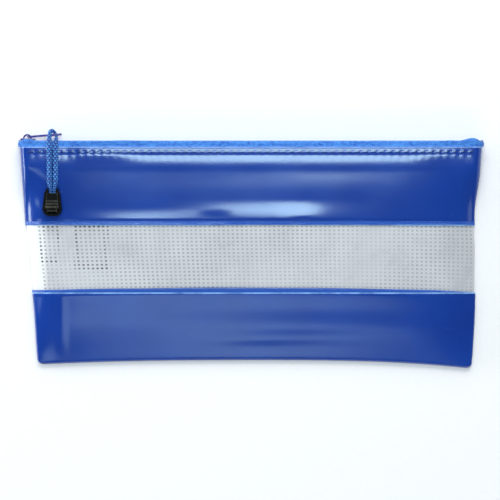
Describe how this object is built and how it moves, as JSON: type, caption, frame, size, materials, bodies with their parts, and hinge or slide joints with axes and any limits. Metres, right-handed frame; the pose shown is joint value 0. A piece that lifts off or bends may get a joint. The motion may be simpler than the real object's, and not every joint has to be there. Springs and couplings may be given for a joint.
{
  "type": "zippered deposit bag",
  "caption": "Flat zippered vinyl deposit bag with blue bands, a mesh window, a slider with pull tab and a cord pull.",
  "frame": {"origin": "middle of the bag's footprint, on the surface it lies on", "axes": "+X along the zipper towards the open end of the slider's travel, +Y from the bottom fold to the zipper, +Z out of the front face"},
  "size_m": [0.283, 0.1415, 0.0197],
  "materials": {
    "vinyl": "glossy flexible vinyl sheet, solid blue",
    "mesh_vinyl": "clear vinyl film on a white woven scrim",
    "zipper_tape": "woven polyester zipper tape",
    "coil_nylon": "moulded nylon monofilament",
    "thread": "twisted polyester sewing thread",
    "slider_enamel": "blue enamel on a zinc casting",
    "braided_cord": "round braided polyester cord",
    "cord_end_plastic": "moulded black plastic, satin with rubbed edges"
  },
  "bodies": {
    "bag": {"front_upper_panel": "vinyl", "front_mesh_window": "mesh_vinyl", "lower_panel": "vinyl", "back_mesh_window": "mesh_vinyl", "back_upper_panel": "vinyl", "front_zipper_tape": "zipper_tape", "back_zipper_tape": "zipper_tape", "front_coil": "coil_nylon", "back_coil": "coil_nylon", "front_coil_core": "zipper_tape", "back_coil_core": "zipper_tape", "front_coil_stitching": "thread", "back_coil_stitching": "thread", "front_mouth_stitching": "thread", "back_mouth_stitching": "thread", "left_side_seam_stitching": "thread", "right_side_seam_stitching": "thread", "left_zip_end_stitching": "thread", "right_zip_end_stitching": "thread"},
    "slider": {"slider_body": "slider_enamel"},
    "tab": {"pull_tab": "slider_enamel"},
    "cord": {"pull_cord": "braided_cord", "cord_end_shell": "cord_end_plastic", "cord_knot": "braided_cord"},
    "lid": {"cord_end_lid": "cord_end_plastic"}
  },
  "joints": [
    {"name": "slider_travel", "type": "slide", "parent": "bag", "child": "slider", "axis": [1, 0, 0], "range_m": [0, 0.266]},
    {"name": "tab_swing", "type": "hinge", "parent": "slider", "child": "tab", "pos_m": [-0.135, 0.06722, 0.006], "axis": [0, 0, 1], "range_deg": [0, 160]},
    {"name": "cord_lift", "type": "hinge", "parent": "tab", "child": "cord", "pos_m": [-0.11975, 0.0684, 0.00905], "axis": [-0.9971, -0.0767, 0], "range_deg": [0, 90]},
    {"name": "lid_opening", "type": "hinge", "parent": "cord", "child": "lid", "pos_m": [-0.11975, 0.0219, 0.0184], "axis": [1, 0, 0], "range_deg": [0, 100]}
  ]
}
